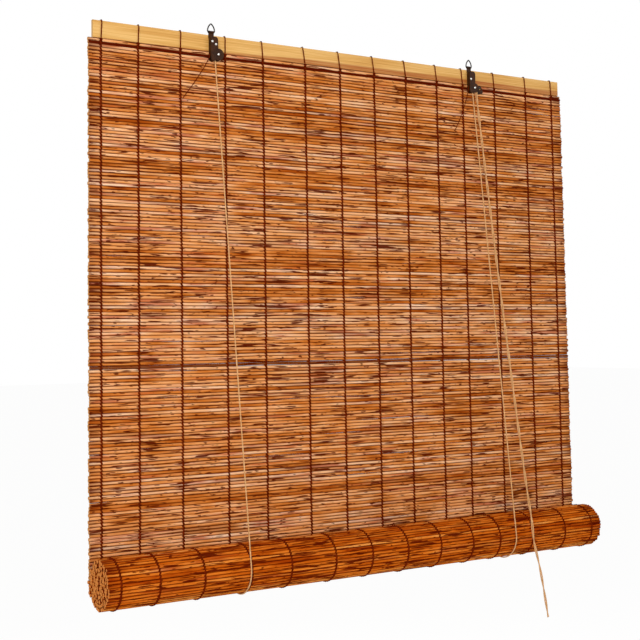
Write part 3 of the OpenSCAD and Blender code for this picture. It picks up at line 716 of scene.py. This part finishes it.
def baked(name, tree, rows, inputs):
    """Runs a tree on a mesh of rows and keeps the result as a plain mesh object."""
    source = bpy.data.objects.new(name + "_rows", rows)
    bpy.context.scene.collection.objects.link(source)
    modifier = source.modifiers.new("tree", "NODES")
    modifier.node_group = tree
    for item in tree.interface.items_tree:
        if item.in_out == "INPUT" and item.name in inputs:
            modifier[item.identifier] = inputs[item.name]
    graph = bpy.context.evaluated_depsgraph_get()
    mesh = bpy.data.meshes.new_from_object(source.evaluated_get(graph))
    bpy.data.objects.remove(source)
    mesh.name = name
    mesh.set_sharp_from_angle(angle=math.radians(60))
    piece = bpy.data.objects.new(name, mesh)
    bpy.context.scene.collection.objects.link(piece)
    return piece


reeds_on_rows = reed_tree()
print("tree:", reeds_on_rows.name, len(reeds_on_rows.nodes), "nodes")

# %% [markdown]
# ## Hanging mat
# The hanging part is a stack of reeds in one plane. When the blind is lifted, the reeds that would
# wind onto the roll have to go, while those at the top stay as they are. So the mat is two pieces:
# an upper band of the top rows, and a lower band of the rest, which gets a mesh of its own. The
# second reed from the top is thin and nearly black all along, as in the photograph, and another
# one below the middle is dark too.

# %% Hanging mat
REED_COUNT = 161
REED_D = 5.5 * MM
REED_SPREAD = 0.5 * MM
UPPER_REEDS = 25
NIP_ROWS = 3             # the last rows before the roll lie behind it and show no string
FOLD_ROW = UPPER_REEDS - NIP_ROWS
DARK_REEDS = {1: 1.0, 99: 0.8}   # how deeply these rows are stained
CLOSE_UP = 1.1 * MM
ZIGZAG = 0.4 * MM        # rows stand this far in front and behind by turns
batten_low, batten_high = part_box("batten")
first_row = batten_low.z - 2.95 * MM
last_row = roll_z + 3.5 * MM
row_pitch = (first_row - last_row) / (REED_COUNT - 1)
mat_left, mat_right = roll_low.x, roll_high.x
FRONT = (0, -1, 0)


def fold_flat(piece):
    """Gives a piece a mesh of its own."""
    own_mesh(piece)


def row_z(row):
    """Height of a row. The rows close up on the thin dark reed at the top and spread out again below it."""
    return first_row - row * row_pitch + np.interp(row, [0, 2, UPPER_REEDS], [0, CLOSE_UP, 0])


bands = {"upper": range(UPPER_REEDS), "lower": range(UPPER_REEDS, REED_COUNT)}
for band, rows in bands.items():
    depth = [ZIGZAG * (-1) ** row for row in rows]
    mesh = rows_mesh("mat_rows", [(mat_left, y, row_z(row)) for y, row in zip(depth, rows)], [], {
        "out": [FRONT for row in rows], "stain": [DARK_REEDS.get(row, 0.0) for row in rows]})
    piece = baked("reed_mat_" + band, reeds_on_rows, mesh, {
        "Length": mat_right - mat_left, "Ragged": 2.5 * MM, "Diameter": REED_D,
        "Diameter spread": REED_SPREAD, "Bow": 1.2 * MM, "Bow length": 160 * MM, "Segments": 40,
        "Sides": 10, "Seed": 11 if band == "upper" else 23, "Material": mat_reed})
    settle(piece, "headrail", "reed", "reed_mat")
    if band == "lower":
        fold_flat(piece)
    print(piece.name, len(piece.data.polygons), "faces")

# %% [markdown]
# ## Rolled part
# The lower part of the mat is rolled up towards the viewer, about five turns deep. Its rows follow
# the spiral of half turns of the solid, with a last small turn in the middle. The cut ends stand
# at different depths, which makes the ends of the roll look like a bundle of straws.

# %% Rolled part
ROLL_REED_D = 5.5 * MM
ROW_ROOM = 5.1 * MM
TURN_PITCH = 6.2 * MM
HALF_TURNS = 12
upper_y = roll_y - TURN_PITCH / 2
ROLL_JITTER = 0.35 * MM


def spiral_rows():
    """Y, Z and outward angle of each reed along the spiral, from the outside in."""
    rows = []
    for half in range(HALF_TURNS):
        radius = TURN_R - half * TURN_PITCH / 2
        upper = half % 2
        count = math.ceil(math.pi * radius / ROW_ROOM)
        for j in range(count):
            angle = math.pi * (upper - (j + 0.5) / count)
            centre = upper_y if upper else roll_y
            rows.append((centre + radius * math.cos(angle), roll_z + radius * math.sin(angle), angle))
    return rows


spiral = spiral_rows()
draw = np.random.default_rng(5)
shift = draw.uniform(-ROLL_JITTER, ROLL_JITTER, (len(spiral), 2))
places = [(mat_left, y + dy, z + dz) for (y, z, a), (dy, dz) in zip(spiral, shift)]
mesh = rows_mesh("roll_rows", places, [], {
    "out": [(0, math.cos(a), math.sin(a)) for y, z, a in spiral], "stain": [0.0] * len(spiral)})
roll = baked("reed_roll_spiral", reeds_on_rows, mesh, {
    "Length": mat_right - mat_left - 3 * MM, "Ragged": 3.5 * MM, "Diameter": ROLL_REED_D - 0.3 * MM,
    "Diameter spread": 0.6 * MM, "Bow": 1.0 * MM, "Bow length": 160 * MM, "Segments": 28, "Sides": 9,
    "Seed": 37, "Material": roll_reed})
settle(roll, "roll", "roll_reed", "reed_roll")
print("reeds in the roll:", len(spiral), len(roll.data.polygons), "faces")

# %% [markdown]
# ## Twined strings
# Two strands of dark cotton tie the reeds at each string. One passes in front of a reed while the
# other passes behind it, and they change places between reeds, so every reed shows one slanted
# stitch. Geometry Nodes turn a line through the rows into both strands: out and in with the cosine
# of the row's number, sideways with its sine. Around the roll the same tree follows the outer turn.


# %% The tree for twined strings
def twine_tree():
    tree, given = new_tree("strands_on_rows", {
        "Reach": "Float", "Spread": "Float", "Wobble": "Float", "Diameter": "Float", "Points": "Int",
        "Sides": "Int", "Seed": "Float", "Material": "Material"})
    line = add(tree, "MeshToCurve", {"Mesh": given["Rows"]})
    line = add(tree, "ResampleCurve", {"Curve": line, "Count": given["Points"]})
    told = {key: add(tree, "InputNamedAttribute." + kind, {"Name": key})["Attribute"]
            for key, kind in (("out", "FLOAT_VECTOR"), ("row", "FLOAT"), ("string", "FLOAT"))}
    phase = add(tree, "Math.MULTIPLY", {0: told["row"], 1: math.pi})
    wave = add(tree, "Math.COSINE", {0: phase})
    sway = add(tree, "Math.SINE", {0: phase})
    size = add(tree, "Math.ABSOLUTE", {0: wave})
    size = add(tree, "Math.POWER", {0: size, 1: 0.6})
    sign = add(tree, "Math.SIGN", {0: wave})
    reach = add(tree, "Math.MULTIPLY", {0: size, 1: sign})
    own = add(tree, "Math.MULTIPLY_ADD", {0: told["string"], 1: 50.0, 2: given["Seed"]})
    at = add(tree, "CombineXYZ", {"X": told["row"], "Y": own})
    drift = add(tree, "TexNoise", {"Vector": at, "Scale": 0.22, "Detail": 2.0})["Fac"]
    drift = add(tree, "Math.SUBTRACT", {0: drift, 1: 0.5})
    drift = add(tree, "Math.MULTIPLY", {0: drift, 1: given["Wobble"]})
    circle = add(tree, "CurvePrimitiveCircle", {"Resolution": given["Sides"], "Radius": 0.5})
    spline = add(tree, "SplineParameter")
    line = add(tree, "StoreNamedAttribute", {"Geometry": line, "Name": "run", "Value": spline["Length"]})
    circle = add(tree, "StoreNamedAttribute",
                 {"Geometry": circle, "Name": "around", "Value": spline["Factor"]})
    strands = []
    for turn in (1.0, -1.0):
        far = add(tree, "Math.MULTIPLY", {0: given["Reach"], 1: turn})
        far = add(tree, "Math.MULTIPLY", {0: far, 1: reach})
        depth = add(tree, "VectorMath.SCALE", {"Vector": told["out"], "Scale": far})
        wide = add(tree, "Math.MULTIPLY", {0: given["Spread"], 1: turn})
        aside = add(tree, "Math.MULTIPLY_ADD", {0: wide, 1: sway, 2: drift})
        aside = add(tree, "CombineXYZ", {"X": aside})
        moved = add(tree, "VectorMath.ADD", {0: depth, 1: aside})
        strand = add(tree, "SetPosition", {"Geometry": line, "Offset": moved})
        strands.append(add(tree, "CurveToMesh",
                           {"Curve": strand, "Profile Curve": circle, "Scale": given["Diameter"],
                            "Fill Caps": True}))
    joined = tree.nodes.new("GeometryNodeJoinGeometry")
    for strand in strands:
        tree.links.new(strand, joined.inputs[0])
    run, around = (add(tree, "InputNamedAttribute", {"Name": key})["Attribute"]
                   for key in ("run", "around"))
    uv = add(tree, "CombineXYZ", {"X": run, "Y": around})
    mapped = add(tree, "StoreNamedAttribute.FLOAT2",
                 {"Geometry": joined.outputs[0], "Name": "UVMap", "Value": uv}, domain="CORNER")
    finish_tree(tree, mapped, given["Material"])
    return tree


strands_on_rows = twine_tree()
print("tree:", strands_on_rows.name, len(strands_on_rows.nodes), "nodes")

# %% Strings on the mat and round the roll
STRAND_D = 3.2 * MM
STRAND_REACH = 3.5 * MM
ROLL_REACH = 2.9 * MM    # the roll is wound tight and presses its strings in
STRAND_SPREAD = 1.3 * MM
STRAND_WOBBLE = 2.2 * MM
POINTS_PER_ROW = 4
mat_strings = sorted(n for n in solids if n.startswith("mat_string_"))
roll_strings = sorted(n for n in solids if n.startswith("roll_string_"))
string_x = [sum(corner.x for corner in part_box(n)) / 2 for n in mat_strings]


def strings_piece(name, line, reach, body, nodes):
    """Both strands of every string. The line gives Y, Z, outward angle and row for each of its points."""
    places, edges, told = [], [], {"out": [], "row": [], "string": []}
    for number, x in enumerate(string_x):
        edges += [(len(places) + i, len(places) + i + 1) for i in range(len(line) - 1)]
        places += [(x, y, z) for y, z, angle, row in line]
        told["out"] += [(0, math.cos(angle), math.sin(angle)) for y, z, angle, row in line]
        told["row"] += [row for y, z, angle, row in line]
        told["string"] += [number] * len(line)
    piece = baked(name, strands_on_rows, rows_mesh(name, places, edges, told), {
        "Reach": reach, "Spread": STRAND_SPREAD, "Wobble": STRAND_WOBBLE, "Diameter": STRAND_D,
        "Points": int((line[-1][3] - line[0][3]) * POINTS_PER_ROW) + 1, "Sides": 6, "Seed": 3.0,
        "Material": dark_twine})
    settle(piece, body, "string", *nodes)
    print(name, len(piece.data.polygons), "faces")
    return piece


seam, last = FOLD_ROW - 0.5, REED_COUNT - NIP_ROWS
strings_piece("twine_upper", [(0, row_z(r), math.pi, r) for r in [*range(FOLD_ROW), seam]],
              STRAND_REACH, "headrail", mat_strings)
lower = strings_piece("twine_lower", [(0, row_z(r), math.pi, r) for r in [seam, *range(FOLD_ROW, last)]],
                      STRAND_REACH, "headrail", mat_strings)
fold_flat(lower)
outer_reeds = sum(math.ceil(math.pi * r / ROW_ROOM) for r in (TURN_R, TURN_R - TURN_PITCH / 2))
strings_piece("twine_roll", [(y, z, a, row) for row, (y, z, a) in enumerate(spiral[:outer_reeds])],
              ROLL_REACH, "roll", roll_strings)

# %% [markdown]
# At the top the two strands of a string are knotted, go over the batten and come down behind it.
# That is a plain cord along a line, so it is laid like the lift cords. The strings were pulled over
# by hand and lean to the left, most of all in the middle of the batten.

# %% Strings over the batten
WRAP_D = 2.1 * MM
TIE_KNOT_R = 3.2 * MM
# At these X, the top of a string is this far to the right of its foot, all in mm.
LEAN = ([-480, -250, -100, 100, 480], [1.5, 0.0, -4.5, -4.5, -2.5])
face, top = batten_high.y + WRAP_D / 2, batten_high.z
wraps = []
for x in string_x:
    lean = np.interp(x / MM, *LEAN) * MM
    side = [(0.0, STRAND_REACH, first_row), (0.2 * lean, face, batten_low.z + 2 * MM),
            (0.6 * lean, face, (top + batten_low.z) / 2), (lean, face, top - 2 * MM),
            (lean, face - 0.8 * MM, top + 0.5 * MM)]
    over = [(x + dx, -y, z) for dx, y, z in side] + [(x + lean, 0, top + WRAP_D / 2)]
    over += [(x + dx, y, z) for dx, y, z in reversed(side)]
    wraps.append(smooth_line(over, STRING_LAY / RINGS_PER_LAY))
    wraps.append(overhand_knot((x, -STRAND_REACH - 0.6 * MM, first_row), TIE_KNOT_R, WRAP_D))
wrap = cord_piece("batten_wraps", wraps, WRAP_D, 2, STRING_LAY, dark_twine)
settle(wrap, "headrail", "string", *mat_strings)
print("strings:", len(string_x), "with", len(wraps) - len(string_x), "knots")

# %% [markdown]
# ## Batten
# The batten is one planed slat of bamboo culm, pale and only oiled. It shows fine long fibres and,
# along its lower edge, a ragged orange-brown band that rises to the right. Its solid already has the
# true form and holes, so it only gets a finish, in Object coordinates because the grain runs along X.

# %% Batten
GRAIN_LEN, GRAIN_H = 90 * MM, 1.1 * MM   # real fibres are about 0.4 mm, drawn coarser to show
PATCH_LEN, PATCH_H = 250 * MM, 25 * MM
BAND_FROM, BAND_FULL = -0.3, -0.1      # the band rises between these X and stays up to the right
BAND_RISE, BAND_RAGGED = 9 * MM, 6 * MM

planed, tree, shader = new_finish("planed_bamboo_slat", Roughness=0.48, Specular_IOR_Level=0.2)
place = add(tree, "TexCoord")["Object"]
grain_at = add(tree, "Mapping", {"Vector": place, "Scale": (1 / GRAIN_LEN, 1 / GRAIN_H, 1 / GRAIN_H)})
grain = add(tree, "TexNoise", {"Vector": grain_at, "Scale": 1.0, "Detail": 3.0})["Fac"]
patch_at = add(tree, "Mapping", {"Vector": place, "Scale": (1 / PATCH_LEN, 1 / PATCH_H, 1 / PATCH_H)})
patch = add(tree, "TexNoise", {"Vector": patch_at, "Scale": 1.0, "Detail": 1.0})["Fac"]
tone = add(tree, "Math.MULTIPLY_ADD", {0: patch, 1: 0.6, 2: grain})
tone = add(tree, "MapRange", {"Value": tone, "From Min": 0.5, "From Max": 1.1})
wood = add(tree, "ValToRGB", {"Fac": tone},
           stops=[(0.0, "#c88a3c"), (0.45, "#e0aa5c"), (1.0, "#f2c47c")])["Color"]
# An orange-brown band along the lower edge: ragged, higher to the right, and fainter on pale grain.
at = add(tree, "SeparateXYZ", {"Vector": place})
band_h = add(tree, "MapRange", {"Value": at["X"], "From Min": BAND_FROM, "From Max": BAND_FULL,
                                 "To Max": BAND_RISE})
above = add(tree, "Math.SUBTRACT", {0: at["Z"], 1: band_h})
ragged = add(tree, "Math.MULTIPLY_ADD", {0: patch, 1: BAND_RAGGED, 2: above})
edge_band = add(tree, "MapRange",
              {"Value": ragged, "From Min": batten_low.z + 4.5 * MM, "From Max": batten_low.z + 2 * MM,
               "To Max": 0.95})
grain_share = add(tree, "MapRange", {"Value": grain, "From Min": 0.35, "From Max": 0.6, "To Min": 1.0,
                               "To Max": 0.65})
edge_band = add(tree, "Math.MULTIPLY", {0: edge_band, 1: grain_share})
wood = add(tree, "Mix.RGBA", {"Factor": edge_band, "A": wood, "B": "#a8561a"})
bump = add(tree, "Bump", {"Strength": 0.25, "Distance": 0.2 * MM, "Height": grain})
plug(tree, shader, Base_Color=wood, Normal=bump)


def dress(material, *names):
    """Gives CAD nodes a finish."""
    for name in names:
        solids[name].data.materials.clear()
        solids[name].data.materials.append(material)


dress(planed, "batten")
print("finish:", planed.name)

# %% [markdown]
# ## Fittings
# The casings are folded steel sheet, dipped in a dark bronze lacquer that has rubbed thin here and
# there. Rivet and nail heads are nickel plated, the hanger rings are blackened wire, and the hidden
# wheels are turned brass. Each is the same idea with other numbers: one noise for colour, one for
# roughness and a slight bump.

# %% Fittings
METALS = {  # dark and light colour, metallic, specular level, least and most roughness, grain size
    "bronze_lacquered_steel": ("#1c0c04", "#4a280e", 0.0, 0.12, 0.36, 0.58, 2.2 * MM),
    "nickel_plated_steel": ("#b9b4ab", "#efece6", 1.0, 0.5, 0.16, 0.34, 1.2 * MM),
    "blackened_steel_wire": ("#1b1917", "#4a4641", 0.9, 0.5, 0.30, 0.50, 1.5 * MM),
    "turned_brass": ("#8f6a2c", "#d0a95c", 1.0, 0.5, 0.24, 0.42, 0.8 * MM),
}


def metal_finish(name, dark, light, metallic, specular, smooth, rough, grain_size):
    material, tree, shader = new_finish(name, Metallic=metallic, Specular_IOR_Level=specular)
    place = add(tree, "TexCoord")["Object"]
    grain = add(tree, "TexNoise", {"Vector": place, "Scale": 1 / grain_size, "Detail": 3.0})["Fac"]
    worn = add(tree, "TexNoise", {"Vector": place, "Scale": 0.2 / grain_size, "Detail": 2.0})["Fac"]
    both = add(tree, "Math.MULTIPLY_ADD", {0: worn, 1: 0.8, 2: grain})
    tone = add(tree, "MapRange", {"Value": both, "From Min": 0.6, "From Max": 1.25})
    colour = add(tree, "Mix.RGBA", {"Factor": tone, "A": dark, "B": light})
    dull = add(tree, "MapRange", {"Value": grain, "From Min": 0.3, "From Max": 0.7, "To Min": smooth,
                                  "To Max": rough})
    bump = add(tree, "Bump", {"Strength": 0.2, "Distance": 0.2 * MM, "Height": grain})
    plug(tree, shader, Base_Color=colour, Roughness=dull, Normal=bump)
    return material


metal = {name: metal_finish(name, *numbers) for name, numbers in METALS.items()}
dress(metal["bronze_lacquered_steel"], "pulley_case", "lock_case")
dress(metal["nickel_plated_steel"], "case_nails", "pulley_axle", "guide_axle")
dress(metal["blackened_steel_wire"], "hanger_ring_left", "hanger_ring_right", "lock_pin")
dress(metal["turned_brass"], "pulley_wheel", "guide_wheel", "lock_roller")
print("metals:", list(metal))
